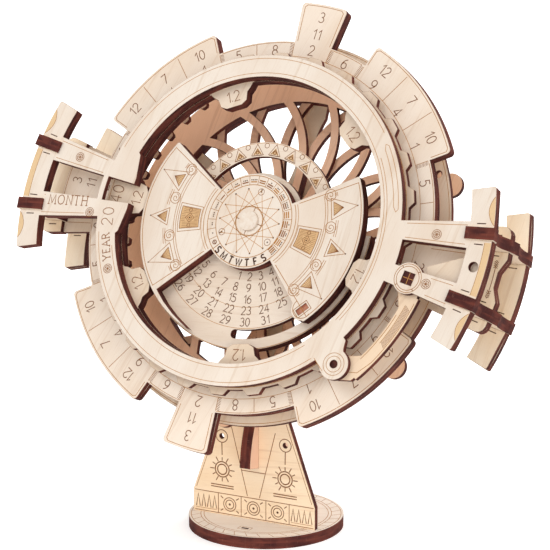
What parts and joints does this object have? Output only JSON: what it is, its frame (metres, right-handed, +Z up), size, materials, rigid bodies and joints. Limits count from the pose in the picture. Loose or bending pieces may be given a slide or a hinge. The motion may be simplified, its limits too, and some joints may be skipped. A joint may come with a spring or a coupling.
{
  "type": "perpetual desk calendar",
  "caption": "Laser-cut plywood perpetual desk calendar: leaning dial with turning year and month rings, a date disc turned by a rear hand wheel, side handles and a round base.",
  "frame": {"origin": "middle of the base's underside", "axes": "+Z up, the dial faces -Y and leans back, +X to the viewer's right"},
  "size_m": [0.216, 0.0965, 0.2142],
  "materials": {
    "birch_face": "pale birch plywood, laser cut",
    "birch_tan": "pale birch plywood, a warmer sheet",
    "birch_dark": "birch plywood seen mostly on its browned cut edge"
  },
  "bodies": {
    "frame": {"base_disc_lower": "birch_tan", "base_disc_upper": "birch_tan", "base_key": "birch_dark", "stand_upright": "birch_tan", "stand_arm_left": "birch_tan", "stand_arm_right": "birch_tan", "front_frame": "birch_face", "frame_backing": "birch_dark", "middle_frame": "birch_face", "rear_frame": "birch_face", "cross_plate_left_upper_a": "birch_dark", "cross_plate_left_upper_b": "birch_dark", "cross_plate_left_lower_a": "birch_dark", "cross_plate_left_lower_b": "birch_dark", "cross_plate_right_upper_a": "birch_dark", "cross_plate_right_upper_b": "birch_dark", "cross_plate_right_lower_a": "birch_dark", "cross_plate_right_lower_b": "birch_dark", "click_arm": "birch_tan", "click_arm_key": "birch_dark", "click_arm_pin": "birch_dark", "ring_hoop_front": "birch_tan", "ring_hoop_rear": "birch_tan", "ring_flange": "birch_tan", "flange_pegs": "birch_dark", "dial_cover": "birch_face", "cover_backing": "birch_dark", "cover_peg": "birch_dark", "cover_spacer": "birch_tan", "axle_dowel": "birch_face", "rear_washer": "birch_tan"},
    "year": {"year_ring": "birch_tan", "year_detent_ring": "birch_dark"},
    "month": {"month_ring": "birch_tan"},
    "date": {"date_disc": "birch_tan", "date_rim": "birch_tan", "date_sleeve": "birch_dark", "hand_wheel_front": "birch_face", "hand_wheel_rear": "birch_dark"}
  },
  "joints": [
    {"name": "year_turn", "type": "hinge", "parent": "frame", "child": "year", "pos_m": [0, -0.0184, 0.1326], "axis": [0, -0.9143, 0.4051], "continuous": true},
    {"name": "month_turn", "type": "hinge", "parent": "frame", "child": "month", "pos_m": [0, -0.0184, 0.1326], "axis": [0, -0.9143, 0.4051], "continuous": true},
    {"name": "date_turn", "type": "hinge", "parent": "frame", "child": "date", "pos_m": [0, -0.0184, 0.1326], "axis": [0, -0.9143, 0.4051], "range_deg": [-38.57, 38.57]}
  ]
}
